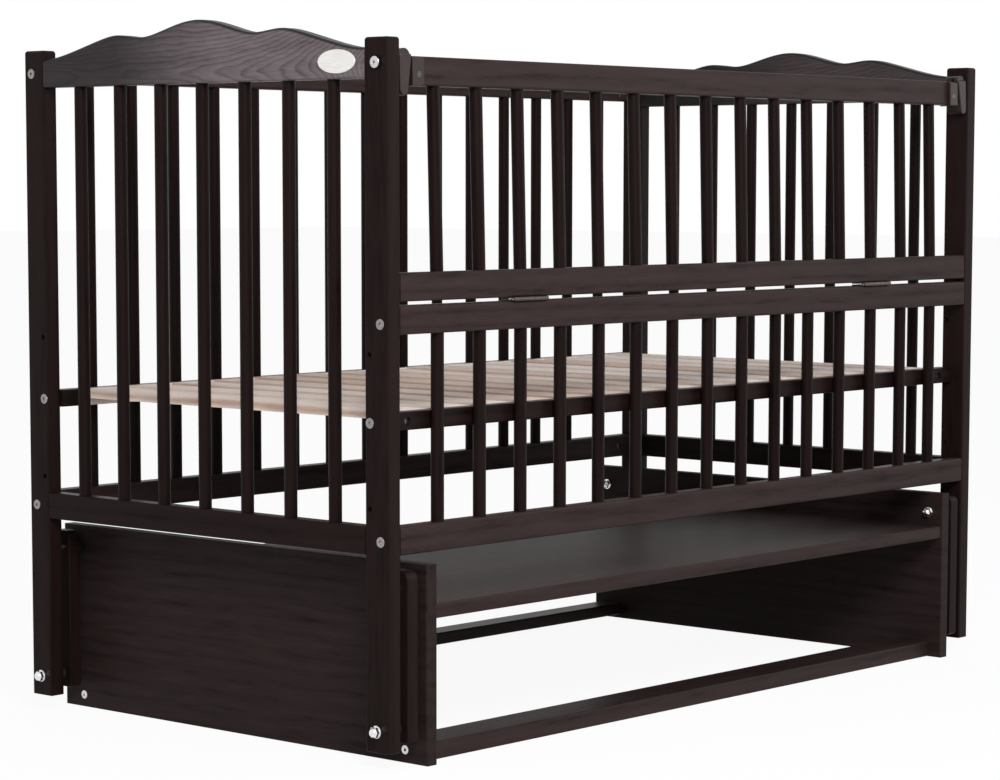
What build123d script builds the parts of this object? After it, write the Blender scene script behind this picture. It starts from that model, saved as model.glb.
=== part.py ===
from build123d import *
import os
from math import cos, radians, sin

os.makedirs("parts", exist_ok=True)

# A child's crib: a slatted cradle whose four posts hang on swinging links from a low stand.
# X runs along the length, Y from the front (fold-down side, -Y) to the rear, Z up from the floor.

# Cradle frame
inner_length = 1200.0           # between the end frames, to take a 1200 x 600 mattress
cradle_width = 646.0            # over the front and rear rails
stock = 22.0                    # thickness of the posts, rails and headboards
post_width = 37.0
post_bottom = 22.0
post_top = 860.0
post_edge = 2.5
post_top_round = 3.5
rail_height = 34.0
rail_edge = 3.0
bottom_rail_z = 256.0
mid_rail_z = 515.4
rear_top_rail_z = 820.6
rear_top_rail_height = 20.0
rear_top_rail_edge = 4.0

# Wavy headboards: heights of the top edge above the board's underside, by distance from its middle
board_z = 812.5
board_edge = 4.0
board_end_rise = 35.5
crest_shape = ((233.0, 44.0), (175.0, 58.5), (150.0, 62.5), (99.0, 59.0), (70.0, 64.0))
crest_rise = 77.1

# Spindles and their sockets
spindle_r = 8.0
side_spindles = 15
end_spindles = 7
end_spindle_margin = 59.8       # from a post to the first end spindle
socket_depth = 10.0
socket_slack = 0.05
socket_end_gap = 0.5

# Glued dowels between the posts and the end rails and headboards
dowel_r = 4.0
dowel_slack = 0.05
dowel_in_post = 16.0
dowel_in_rail = 22.0
dowel_end_gap = 1.0
dowel_spacing = 16.0
board_dowel_rise = 9.5          # above the headboard's underside

# Furniture bolts through the posts, with barrel nuts in the rails
bolt_r = 3.0
bolt_bore_r = 3.3
bolt_head_r = 6.5
bolt_head_height = 2.5
bolt_head_slack = 0.2
bolt_socket_width = 4.0
bolt_socket_depth = 1.8
bolt_inset = 12.5               # from the cradle's front or rear face to the bolt
mid_bolt_rise = 12.8            # above the mid rail's underside
barrel_nut_r = 5.0
barrel_nut_length = 14.0
barrel_nut_slack = 0.1
barrel_nut_reach = 33.0         # from the end of the rail to the nut
bolt_overrun = 8.0

# Mattress base
base_stock = 22.0
base_spindle_gap = 1.0
base_level = 412.0
base_bolt_inset = 9.5           # from the base rail's outer face to its bolts
base_nut_length = 10.0
spare_levels = (311.0, 492.0)
slat_count = 15
slat_width = 50.0
slat_thickness = 12.0
slat_end_space = 37.0           # from an end frame to the first slat
slat_seat = 6.5
slat_slack = 0.2

# Fold-down side: it turns on hinges at the mid rail and leans inwards a little when shut
flap_lean = 1.5
hinge_gap = 4.7
hinge_proud = 2.0               # hinge axis in front of the rail faces
flap_top = 839.4
flap_end_gap = 1.0
latch_space = 28.0              # from an end frame to the flap's top rail

# Butt hinges
hinge_x = 371.5
hinge_length = 64.0
hinge_knuckles = 5
knuckle_r = 2.7
knuckle_gap = 0.3
hinge_pin_r = 1.3
hinge_pin_slack = 0.05
leaf_thickness = 1.6
leaf_depth = 20.0
leaf_clear = 0.4                # between a leaf and the other leaf's knuckles
hinge_screw_r = 1.4
hinge_screw_head_r = 2.7
hinge_screw_length = 13.0
hinge_screw_spacing = 22.0
hinge_screw_depth = 13.0        # from the hinge axis back to the screws

# Latches on the ends of the fold-down side's top rail
bracket_lap = 15.0              # length of the front flange over the rail
bracket_front = 6.0
bracket_end = 4.5
bracket_height = 33.6
bracket_low = 1.0               # below the rail's underside
bracket_bevel = 1.2
bracket_screw_inset = 6.0       # from the end of the flap's top rail
bracket_screw_rise = 12.6
bracket_screw_r = 1.7
bracket_screw_head_r = 3.6
bracket_screw_length = 20.0
tongue_front = 10.0             # from the bracket's front face
tongue_width = 6.0
tongue_r = 5.4
lever_gap = 2.0                 # between the lever and the post
lever_hub_r = 9.7
lever_tip_r = 6.5
lever_pivot_drop = 1.2          # below the top of the rail
lever_drop = 39.0               # from the pivot to the middle of the tip
lever_plate = 3.0
lever_plate_rise = 2.8
lever_cheek = 8.5
lever_depth = 24.5
lever_rear_cheek = 4.0
lever_web = 3.5
lever_bay_r = 6.4
lever_bay_drop = 28.5
lever_pin_r = 2.0
lever_pin_slack = 0.05
spring_wall = 1.0
spring_slack = 0.3
nose_front = 9.5                # from the lever's front face to its nose
nose_width = 8.0
nose_height = 7.0
nose_drop = 21.5                # from the pivot to the top of the nose
nose_bite = 3.0                 # into the keeper, past the face of the post
nose_slope = 3.0

# Keepers let into the front posts
keeper_depth = 5.0
keeper_width = 19.0
keeper_drop = 38.4              # these five are measured from the top of the flap
keeper_over = 2.6
keeper_corner = 3.0
keeper_slack = 0.1
keeper_slot_side = 1.0
keeper_slot_drop = 33.9
keeper_slot_height = 14.0
keeper_bolt_drop = 8.8
keeper_bolt_inset = 16.3        # from the cradle's front face
keeper_bolt_r = 3.0
keeper_bolt_bore_r = 3.1
keeper_head_r = 7.0
keeper_head_proud = 4.5
keeper_head_edge = 0.8
keeper_head_hole_r = 1.6
keeper_recess_r = 8.5
keeper_recess_depth = 2.0

# Stand
link_post_gap = 10.0            # between a link and the post beside it
panel_thickness = 18.0
panel_over_cradle = 5.0         # past the cradle's front and rear
panel_height = 242.0
panel_edge = 1.5
shelf_front_inset = 2.0         # from the panels' front edges
shelf_rear_inset = 72.0         # from the panels' rear edges
shelf_thickness = 18.0
shelf_z = 176.0
shelf_edge = 2.0
front_foot_rail_inset = 22.0    # from the panels' front edges
front_foot_rail_width = 58.0
front_foot_rail_height = 22.0
rear_foot_rail_inset = 56.0     # from the panels' rear edges to its inner face
rear_foot_rail_width = 40.0
rear_foot_rail_height = 18.0
rear_foot_rail_z = 7.0
foot_screw_r = 3.4
foot_screw_length = 50.0
foot_screw_head_r = 5.5
foot_screw_head_depth = 4.0
foot_screw_socket_width = 4.0
foot_screw_socket_depth = 2.5
screw_slack = 0.1
foot_dowel_inset = 42.0         # from the front foot rail's front face
stand_dowel_in_panel = 12.0
stand_dowel_in_rail = 18.0
shelf_dowel_spacing = 215.0
cam_spacing = 145.0             # from the middle of the shelf
cam_reach = 34.0
cam_r = 7.3
cam_depth = 12.5
cam_slack = 0.2
cam_bolt_r = 3.0
cam_bolt_slack = 0.3
cam_bolt_in_panel = 11.0

# Swinging links and their pivots
link_thickness = 18.0
link_width = 40.0
link_bottom = 30.0
link_top = 237.0
link_top_round = 12.0
link_bottom_round = 4.0
link_edge = 1.5
low_pivot_z = 47.5
high_pivot_z = 213.5
panel_link_gap = 11.0
link_side_gap = 0.3
pivot_r = 4.0
pivot_bore_slack = 0.1
sleeve_r = 5.5
sleeve_slack = 0.05
spacer_r = 10.0
pivot_head_r = 8.0
pivot_head_height = 4.4
pivot_head_edge = 2.0
pivot_socket_width = 5.0
pivot_socket_depth = 2.5
cap_flange_r = 7.6
cap_flange_height = 1.6
cap_nut_width = 12.0
cap_nut_height = 5.0
cap_dome_height = 4.2
cap_bore_depth = 7.0

# Bare oval plate on the left headboard
oval_inset = 81.0               # from the cradle's front face
oval_rise = 20.5                # above the headboard's underside
oval_length = 61.0
oval_height = 28.0
oval_thickness = 1.2
oval_edge = 0.5

# Places worked out from the sizes above
end_inner_x = inner_length / 2
end_outer_x = end_inner_x + stock
end_mid_x = end_inner_x + stock / 2
side_outer_y = cradle_width / 2
side_inner_y = side_outer_y - stock
side_mid_y = side_outer_y - stock / 2
post_inner_y = side_outer_y - post_width
post_mid_y = side_outer_y - post_width / 2
rail_bolt_y = side_outer_y - bolt_inset
bottom_rail_top = bottom_rail_z + rail_height
bottom_rail_mid = bottom_rail_z + rail_height / 2
mid_rail_top = mid_rail_z + rail_height
rear_top_rail_mid = rear_top_rail_z + rear_top_rail_height / 2
side_pitch = inner_length / (side_spindles + 1)
end_spindle_pitch = 2 * (post_inner_y - end_spindle_margin) / (end_spindles - 1)
board_dowel_z = board_z + board_dowel_rise
mid_bolt_z = mid_rail_z + mid_bolt_rise
slat_first_x = end_inner_x - slat_end_space
flap_top_half = end_inner_x - latch_space
bracket_screw_x = flap_top_half - bracket_screw_inset
keeper_bottom = flap_top - keeper_drop
keeper_top = flap_top + keeper_over
keeper_slot_bottom = flap_top - keeper_slot_drop
keeper_slot_top = keeper_slot_bottom + keeper_slot_height
keeper_bolt_y = side_outer_y - keeper_bolt_inset
keeper_bolt_z = flap_top - keeper_bolt_drop
oval_y = oval_inset - side_outer_y
oval_z = board_z + oval_rise
base_outer_y = side_mid_y - spindle_r - base_spindle_gap
base_mid_y = base_outer_y - base_stock / 2
base_inner_y = base_outer_y - base_stock
base_bolt_y = base_outer_y - base_bolt_inset
base_top = base_level + base_stock / 2
nut_x = end_inner_x - barrel_nut_reach
hinge_y = -side_outer_y - hinge_proud
hinge_z = mid_rail_top + hinge_gap / 2
flap_rise = flap_top - hinge_z
flap_half = end_inner_x - flap_end_gap
flap_rail_y = hinge_proud + stock / 2
flap_top_rail_low = flap_rise - rail_height
link_outer_x = end_inner_x - link_post_gap
link_inner_x = link_outer_x - link_thickness
panel_outer_x = link_inner_x - panel_link_gap
panel_inner_x = panel_outer_x - panel_thickness
panel_width = cradle_width + 2 * panel_over_cradle
pivot_y = post_mid_y
shelf_front = panel_width / 2 - shelf_front_inset
shelf_rear = panel_width / 2 - shelf_rear_inset
shelf_mid_y = (shelf_rear - shelf_front) / 2
shelf_dowel_y = (shelf_mid_y - shelf_dowel_spacing, shelf_mid_y, shelf_mid_y + shelf_dowel_spacing)
cam_y = (shelf_mid_y - cam_spacing, shelf_mid_y + cam_spacing)
front_foot_rail_face = panel_width / 2 - front_foot_rail_inset
rear_foot_rail_face = panel_width / 2 - rear_foot_rail_inset
foot_screw_y = rear_foot_rail_face + rear_foot_rail_width / 2
foot_screw_z = rear_foot_rail_z + rear_foot_rail_height / 2
lever_outer_x = end_inner_x - lever_gap
lever_x = lever_outer_x - lever_hub_r
lever_z = flap_rise - lever_pivot_drop
bracket_face = hinge_proud - bracket_front
bracket_outer_x = flap_top_half + bracket_end
shelf_top = shelf_z + shelf_thickness
shelf_mid_z = shelf_z + shelf_thickness / 2

# Planes of the leaning side, through the hinge axis: seen from its end, its face and its top
lean_out = (0, -cos(radians(flap_lean)), sin(radians(flap_lean)))
lean_in = (0, cos(radians(flap_lean)), -sin(radians(flap_lean)))
lean_up = (0, sin(radians(flap_lean)), cos(radians(flap_lean)))
hinge_point = (0, hinge_y, hinge_z)
flap_end_plane = Plane(origin=hinge_point, x_dir=lean_in, z_dir=(1, 0, 0))
flap_face_plane = Plane(origin=hinge_point, x_dir=(1, 0, 0), z_dir=lean_out)
flap_top_plane = Plane(origin=hinge_point, x_dir=(1, 0, 0), z_dir=lean_up)
hinge_end_plane = Plane(origin=hinge_point, x_dir=(0, 1, 0), z_dir=(1, 0, 0))
hinge_top_plane = Plane(origin=hinge_point, x_dir=(1, 0, 0), z_dir=(0, 0, 1))

side_spindle_x = [side_pitch * (place - (side_spindles - 1) / 2) for place in range(side_spindles)]
end_spindle_y = [end_spindle_pitch * (place - (end_spindles - 1) / 2) for place in range(end_spindles)]
slat_pitch = (2 * slat_first_x - slat_width) / (slat_count - 1)
slat_x = [slat_pitch * (place - (slat_count - 1) / 2) for place in range(slat_count)]
front_rail_bolts = ((-rail_bolt_y, mid_bolt_z), (-rail_bolt_y, bottom_rail_mid))
rear_rail_bolts = ((rail_bolt_y, rear_top_rail_mid), (rail_bolt_y, bottom_rail_mid))
front_base_bolt = (-base_bolt_y, base_level)
rear_base_bolt = (base_bolt_y, base_level)
front_bolts = (*front_rail_bolts, front_base_bolt)
rear_bolts = (*rear_rail_bolts, rear_base_bolt)
board_dowels = (board_dowel_z, board_dowel_z + dowel_spacing)
rail_dowels = (bottom_rail_mid - dowel_spacing / 2, bottom_rail_mid + dowel_spacing / 2)


def save(piece, name):
    """Label a finished piece and write it under its own name."""
    piece.part.label = name
    export_step(piece.part, f"parts/{name}.step")


def save_both_ends(piece, name):
    """Write a right-hand piece and its mirror image at the left end."""
    with BuildPart() as other:
        add(piece.part)
        mirror(about=Plane.YZ, mode=Mode.REPLACE)
    save(piece, f"{name}_right")
    save(other, f"{name}_left")


# Posts


def post(side, bolts):
    """Right-hand post, at the front (side -1) or the rear (side 1)."""
    with BuildPart() as piece:
        with BuildSketch(Plane.XY.offset(post_bottom)):
            with Locations((end_mid_x, side * post_mid_y)):
                Rectangle(stock, post_width)
        extrude(amount=post_top - post_bottom)
        fillet(piece.edges().filter_by(Axis.Z), post_edge)
        fillet(piece.faces().sort_by(Axis.Z)[-1].edges(), post_top_round)
        fillet(piece.faces().sort_by(Axis.Z)[0].edges(), post_edge / 2)
        with BuildSketch(Plane.YZ.offset(end_inner_x)):
            with Locations(*bolts, *[(side * base_bolt_y, level) for level in spare_levels]):
                Circle(bolt_bore_r)
            with Locations((side * pivot_y, low_pivot_z)):
                Circle(pivot_r + pivot_bore_slack)
        extrude(amount=stock, mode=Mode.SUBTRACT)
        with BuildSketch(Plane.YZ.offset(end_outer_x)):
            with Locations(*bolts):
                Circle(bolt_head_r + bolt_head_slack)
        extrude(amount=-bolt_head_height, mode=Mode.SUBTRACT)
        with BuildSketch(Plane.XZ.offset(-side * post_inner_y)):
            with Locations(*[(end_mid_x, height) for height in board_dowels + rail_dowels]):
                Circle(dowel_r + dowel_slack)
        extrude(amount=-side * (dowel_in_post + dowel_end_gap), mode=Mode.SUBTRACT)
        if side < 0:
            with BuildSketch(Plane.YZ.offset(end_inner_x)):
                with Locations((-keeper_bolt_y, (keeper_bottom + keeper_top) / 2)):
                    RectangleRounded(keeper_width, keeper_top - keeper_bottom, keeper_corner)
            extrude(amount=keeper_depth, mode=Mode.SUBTRACT)
            with BuildSketch(Plane.YZ.offset(end_inner_x)):
                with Locations((-keeper_bolt_y, keeper_bolt_z)):
                    Circle(keeper_bolt_bore_r)
            extrude(amount=stock, mode=Mode.SUBTRACT)
            with BuildSketch(Plane.YZ.offset(end_outer_x)):
                with Locations((-keeper_bolt_y, keeper_bolt_z)):
                    Circle(keeper_recess_r)
            extrude(amount=-keeper_recess_depth, mode=Mode.SUBTRACT)
    return piece


save_both_ends(post(-1, front_bolts), "post_front")
save_both_ends(post(1, rear_bolts), "post_rear")


# End frames

with BuildPart() as headboard:
    crest = [(y, board_z + rise) for y, rise in crest_shape]
    half_crest = [(post_inner_y, board_z + board_end_rise)] + crest + [(0, board_z + crest_rise)]
    other_half = [(-y, z) for y, z in reversed(half_crest[:-1])]
    with BuildSketch(Plane.YZ.offset(end_inner_x)):
        with BuildLine():
            Spline(*half_crest, *other_half)
            Polyline(other_half[-1], (-post_inner_y, board_z), (post_inner_y, board_z), half_crest[0])
        make_face()
    extrude(amount=stock)
    top_face = headboard.faces().sort_by(Axis.Z)[-1]
    fillet(top_face.edges().filter_by(lambda edge: edge.length > 2 * stock), board_edge)
    fillet(headboard.faces().sort_by(Axis.Z)[0].edges().filter_by(Axis.Y), rail_edge)
    with BuildSketch(Plane.XY.offset(board_z)):
        with Locations(*[(end_mid_x, y) for y in end_spindle_y]):
            Circle(spindle_r + socket_slack)
    extrude(amount=socket_depth, mode=Mode.SUBTRACT)
    for side in (-1, 1):
        with BuildSketch(Plane.XZ.offset(-side * post_inner_y)):
            with Locations(*[(end_mid_x, height) for height in board_dowels]):
                Circle(dowel_r + dowel_slack)
        extrude(amount=side * (dowel_in_rail + dowel_end_gap), mode=Mode.SUBTRACT)
save_both_ends(headboard, "headboard")

with BuildPart() as end_rail:
    with BuildSketch(Plane.XZ.offset(-post_inner_y)):
        with Locations((end_mid_x, bottom_rail_mid)):
            RectangleRounded(stock, rail_height, rail_edge)
    extrude(amount=2 * post_inner_y)
    with BuildSketch(Plane.XY.offset(bottom_rail_top)):
        with Locations(*[(end_mid_x, y) for y in end_spindle_y]):
            Circle(spindle_r + socket_slack)
    extrude(amount=-socket_depth, mode=Mode.SUBTRACT)
    for side in (-1, 1):
        with BuildSketch(Plane.XZ.offset(-side * post_inner_y)):
            with Locations(*[(end_mid_x, height) for height in rail_dowels]):
                Circle(dowel_r + dowel_slack)
        extrude(amount=side * (dowel_in_rail + dowel_end_gap), mode=Mode.SUBTRACT)
save_both_ends(end_rail, "end_rail")

with BuildPart() as end_spindle_row:
    with BuildSketch(Plane.XY.offset(bottom_rail_top - socket_depth + socket_end_gap)):
        with Locations(*[(end_mid_x, y) for y in end_spindle_y]):
            Circle(spindle_r)
    extrude(amount=board_z - bottom_rail_top + 2 * (socket_depth - socket_end_gap))
save_both_ends(end_spindle_row, "end_spindles")

with BuildPart() as frame_dowels:
    with BuildSketch(Plane.XZ.offset(-post_inner_y - dowel_in_post)):
        with Locations(*[(end_mid_x, height) for height in board_dowels + rail_dowels]):
            Circle(dowel_r)
    extrude(amount=dowel_in_post + dowel_in_rail)
    mirror(about=Plane.XZ)
    mirror(about=Plane.YZ)
save(frame_dowels, "frame_dowels")


# Fixed rails and spindles along the front and the rear


def side_rail(side, z_low, height, edge, socket_up, bolt_z):
    """Rail between two posts, with spindle sockets in its top (socket_up 1) or its underside (-1)."""
    with BuildPart() as rail:
        with BuildSketch(Plane.YZ.offset(-end_inner_x)):
            with Locations((side * side_mid_y, z_low + height / 2)):
                RectangleRounded(stock, height, edge)
        extrude(amount=inner_length)
        with BuildSketch(Plane.XY.offset(z_low + height if socket_up > 0 else z_low)):
            with Locations(*[(x, side * side_mid_y) for x in side_spindle_x]):
                Circle(spindle_r + socket_slack)
        extrude(amount=-socket_up * socket_depth, mode=Mode.SUBTRACT)
        for end in (-1, 1):
            with BuildSketch(Plane.YZ.offset(end * end_inner_x)):
                with Locations((side * rail_bolt_y, bolt_z)):
                    Circle(bolt_bore_r)
            extrude(amount=-end * (barrel_nut_reach + bolt_overrun + 1), mode=Mode.SUBTRACT)
        nut_bore = rail_bolt_y - side_inner_y + barrel_nut_length / 2 + barrel_nut_slack
        with BuildSketch(Plane.XZ.offset(-side * side_inner_y)):
            with Locations((-nut_x, bolt_z), (nut_x, bolt_z)):
                Circle(barrel_nut_r + barrel_nut_slack)
        extrude(amount=-side * nut_bore, mode=Mode.SUBTRACT)
    return rail


def side_spindle_row(side, z_low, z_high):
    """Row of round spindles between a lower and an upper rail, sunk in their sockets."""
    sunk = socket_depth - socket_end_gap
    with BuildPart() as row:
        with BuildSketch(Plane.XY.offset(z_low - sunk)):
            with Locations(*[(x, side * side_mid_y) for x in side_spindle_x]):
                Circle(spindle_r)
        extrude(amount=z_high - z_low + 2 * sunk)
    return row


save(side_rail(1, bottom_rail_z, rail_height, rail_edge, 1, bottom_rail_mid), "rear_bottom_rail")
rear_top = side_rail(1, rear_top_rail_z, rear_top_rail_height, rear_top_rail_edge, -1, rear_top_rail_mid)
save(rear_top, "rear_top_rail")
save(side_spindle_row(1, bottom_rail_top, rear_top_rail_z), "rear_spindles")
save(side_rail(-1, bottom_rail_z, rail_height, rail_edge, 1, bottom_rail_mid), "front_bottom_rail")
save(side_spindle_row(-1, bottom_rail_top, mid_rail_z), "front_spindles")

hinge_screw_x = [
    side * hinge_x + place * hinge_screw_spacing for side in (-1, 1) for place in (-1, 0, 1)
]
hinge_screw_points = [(x, hinge_screw_depth) for x in hinge_screw_x]

with BuildPart() as front_mid_rail:
    add(side_rail(-1, mid_rail_z, rail_height, rail_edge, -1, mid_bolt_z).part)
    with BuildSketch(hinge_top_plane.offset(-hinge_gap / 2)):
        with Locations(*hinge_screw_points):
            Circle(hinge_screw_r)
    extrude(amount=-hinge_screw_length, mode=Mode.SUBTRACT)
save(front_mid_rail, "front_mid_rail")


# Furniture bolts and barrel nuts


def corner_bolts(places):
    """Bolts through a right-hand post, with flush heads that have a hexagon socket."""
    with BuildPart() as bolts:
        with BuildSketch(Plane.YZ.offset(end_outer_x)):
            with Locations(*places):
                Circle(bolt_head_r)
        extrude(amount=-bolt_head_height)
        fillet(bolts.faces().sort_by(Axis.X)[-len(places):].edges(), bolt_head_height / 4)
        with BuildSketch(Plane.YZ.offset(end_outer_x - bolt_head_height)):
            with Locations(*places):
                Circle(bolt_r)
        extrude(amount=-(stock - bolt_head_height + barrel_nut_reach + bolt_overrun))
        with BuildSketch(Plane.YZ.offset(end_outer_x)):
            with Locations(*places):
                RegularPolygon(bolt_socket_width / 2, 6, major_radius=False)
        extrude(amount=-bolt_socket_depth, mode=Mode.SUBTRACT)
    return bolts.part


with BuildPart() as assembly_bolts:
    add(corner_bolts(front_bolts))
    add(corner_bolts(rear_bolts))
    mirror(about=Plane.YZ)
save(assembly_bolts, "assembly_bolts")


def barrel_nut(y_mid, z_mid, length):
    """Cross-bored nut lying along Y on a furniture bolt."""
    with BuildPart() as nut:
        with BuildSketch(Plane.XZ.offset(-y_mid - length / 2)):
            with Locations((nut_x, z_mid)):
                Circle(barrel_nut_r)
        extrude(amount=length)
        with BuildSketch(Plane.YZ.offset(nut_x - barrel_nut_r)):
            with Locations((y_mid, z_mid)):
                Circle(bolt_r)
        extrude(amount=2 * barrel_nut_r, mode=Mode.SUBTRACT)
    return nut.part


rail_nuts = [barrel_nut(y, z, barrel_nut_length) for y, z in front_rail_bolts + rear_rail_bolts]
base_nuts = [barrel_nut(y, z, base_nut_length) for y, z in (front_base_bolt, rear_base_bolt)]

with BuildPart() as barrel_nuts:
    add(rail_nuts + base_nuts)
    mirror(about=Plane.YZ)
save(barrel_nuts, "barrel_nuts")


# Mattress base


def base_rail(side):
    """Side rail of the mattress base, notched for the ends of the slats."""
    with BuildPart() as rail:
        with BuildSketch(Plane.YZ.offset(-end_inner_x)):
            with Locations((side * base_mid_y, base_level)):
                RectangleRounded(base_stock, base_stock, rail_edge / 2)
        extrude(amount=inner_length)
        with BuildSketch(Plane.XY.offset(base_top)):
            with Locations(*[(x, side * (base_inner_y + slat_seat / 2)) for x in slat_x]):
                Rectangle(slat_width + 2 * slat_slack, slat_seat)
        extrude(amount=-slat_thickness, mode=Mode.SUBTRACT)
        for end in (-1, 1):
            with BuildSketch(Plane.YZ.offset(end * end_inner_x)):
                with Locations((side * base_bolt_y, base_level)):
                    Circle(bolt_bore_r)
            extrude(amount=-end * (barrel_nut_reach + bolt_overrun + 1), mode=Mode.SUBTRACT)
        nut_bore = base_bolt_inset + base_nut_length / 2 + barrel_nut_slack
        with BuildSketch(Plane.XZ.offset(-side * base_outer_y)):
            with Locations((-nut_x, base_level), (nut_x, base_level)):
                Circle(barrel_nut_r + barrel_nut_slack)
        extrude(amount=side * nut_bore, mode=Mode.SUBTRACT)
    return rail


save(base_rail(-1), "mattress_rail_front")
save(base_rail(1), "mattress_rail_rear")

with BuildPart() as mattress_slats:
    with BuildSketch(Plane.XY.offset(base_top - slat_thickness)):
        with Locations(*[(x, 0) for x in slat_x]):
            Rectangle(slat_width, 2 * (base_inner_y + slat_seat - slat_slack))
    extrude(amount=slat_thickness)
save(mattress_slats, "mattress_slats")


# Fold-down side


def flap_rail(half_length, low, socket_up):
    """Rail of the leaning side, drawn on the plane that turns with it."""
    with BuildPart() as rail:
        with BuildSketch(flap_end_plane.offset(-half_length)):
            with Locations((flap_rail_y, low + rail_height / 2)):
                RectangleRounded(stock, rail_height, rail_edge)
        extrude(amount=2 * half_length)
        with BuildSketch(flap_top_plane.offset(low + rail_height if socket_up > 0 else low)):
            with Locations(*[(x, flap_rail_y) for x in side_spindle_x]):
                Circle(spindle_r + socket_slack)
        extrude(amount=-socket_up * socket_depth, mode=Mode.SUBTRACT)
    return rail.part


with BuildPart() as flap_bottom_rail:
    add(flap_rail(flap_half, hinge_gap / 2, 1))
    with BuildSketch(flap_top_plane.offset(hinge_gap / 2)):
        with Locations(*hinge_screw_points):
            Circle(hinge_screw_r)
    extrude(amount=hinge_screw_length, mode=Mode.SUBTRACT)
save(flap_bottom_rail, "flap_bottom_rail")

bracket_screw_z = flap_top_rail_low + bracket_screw_rise

with BuildPart() as flap_top_rail:
    add(flap_rail(flap_top_half, flap_top_rail_low, -1))
    with BuildSketch(flap_face_plane.offset(-hinge_proud)):
        with Locations((-bracket_screw_x, bracket_screw_z), (bracket_screw_x, bracket_screw_z)):
            Circle(bracket_screw_r)
    extrude(amount=-(bracket_screw_length - bracket_front + 1), mode=Mode.SUBTRACT)
save(flap_top_rail, "flap_top_rail")

with BuildPart() as flap_spindles:
    sunk = socket_depth - socket_end_gap
    with BuildSketch(flap_top_plane.offset(hinge_gap / 2 + rail_height - sunk)):
        with Locations(*[(x, flap_rail_y) for x in side_spindle_x]):
            Circle(spindle_r)
    extrude(amount=flap_top_rail_low - hinge_gap / 2 - rail_height + 2 * sunk)
save(flap_spindles, "flap_spindles")


# Hinges of the fold-down side

knuckle_pitch = hinge_length / hinge_knuckles
knuckle_length = knuckle_pitch - knuckle_gap


def hinge_leaf(end_plane, top_plane, up, first, bore_r):
    """Hinge leaf at the right-hand hinge: every other knuckle, from the one numbered first.

    up is 1 for the leaf above the axis and -1 for the one below it.
    """
    starts = [
        hinge_x - hinge_length / 2 + place * knuckle_pitch + knuckle_gap / 2
        for place in range(first, hinge_knuckles, 2)
    ]
    leaf_mid = up * (hinge_gap - leaf_thickness) / 2
    plate_front = knuckle_r + leaf_clear
    with BuildPart() as leaf:
        with BuildSketch(end_plane.offset(hinge_x - hinge_length / 2)):
            with Locations(((plate_front + leaf_depth) / 2, leaf_mid)):
                Rectangle(leaf_depth - plate_front, leaf_thickness)
        extrude(amount=hinge_length)
        for start in starts:
            with BuildSketch(end_plane.offset(start)):
                Circle(knuckle_r)
                with Locations((plate_front / 2, leaf_mid)):
                    Rectangle(plate_front, leaf_thickness)
                Circle(bore_r, mode=Mode.SUBTRACT)
            extrude(amount=knuckle_length)
        screw_x = [hinge_x + place * hinge_screw_spacing for place in (-1, 0, 1)]
        screw_points = [(x, hinge_screw_depth) for x in screw_x]
        with BuildSketch(top_plane.offset(up * hinge_gap / 2)):
            with Locations(*screw_points):
                Circle(hinge_screw_r + screw_slack)
        extrude(amount=-up * leaf_thickness, mode=Mode.SUBTRACT)
        with BuildSketch(top_plane.offset(up * (hinge_gap / 2 - leaf_thickness))):
            with Locations(*screw_points):
                Circle(hinge_screw_head_r + screw_slack)
        extrude(amount=up * leaf_thickness, taper=40, mode=Mode.SUBTRACT)
    return leaf.part


def hinge_screws(top_plane, up):
    """Countersunk screws of both hinges for one leaf."""
    with BuildPart() as screws:
        with BuildSketch(top_plane.offset(up * (hinge_gap / 2 - leaf_thickness))):
            with Locations(*hinge_screw_points):
                Circle(hinge_screw_head_r)
        extrude(amount=up * leaf_thickness, taper=40)
        with BuildSketch(top_plane.offset(up * (hinge_gap / 2 - leaf_thickness))):
            with Locations(*hinge_screw_points):
                Circle(hinge_screw_r)
        extrude(amount=up * (hinge_screw_length - 1))
    return screws


fixed_leaf = hinge_leaf(hinge_end_plane, hinge_top_plane, -1, 0, hinge_pin_r)
turning_leaf = hinge_leaf(flap_end_plane, flap_top_plane, 1, 1, hinge_pin_r + hinge_pin_slack)

with BuildPart() as hinge_fixed_leaves:
    add(fixed_leaf)
    mirror(about=Plane.YZ)
save(hinge_fixed_leaves, "hinge_fixed_leaves")

with BuildPart() as hinge_flap_leaves:
    add(turning_leaf)
    mirror(about=Plane.YZ)
save(hinge_flap_leaves, "hinge_flap_leaves")

save(hinge_screws(hinge_top_plane, -1), "hinge_fixed_screws")
save(hinge_screws(flap_top_plane, 1), "hinge_flap_screws")

with BuildPart() as hinge_pins:
    with BuildSketch(hinge_end_plane.offset(hinge_x - hinge_length / 2)):
        Circle(hinge_pin_r)
    extrude(amount=hinge_length)
    mirror(about=Plane.YZ)
save(hinge_pins, "hinge_pins")


# Latches

tongue_face = bracket_face + tongue_front
lever_back = bracket_face + lever_depth
bay_front = bracket_face + lever_cheek
bay_back = lever_back - lever_rear_cheek
bay_left = lever_x - 2 * lever_hub_r
nose_root = lever_outer_x - lever_web

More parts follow.
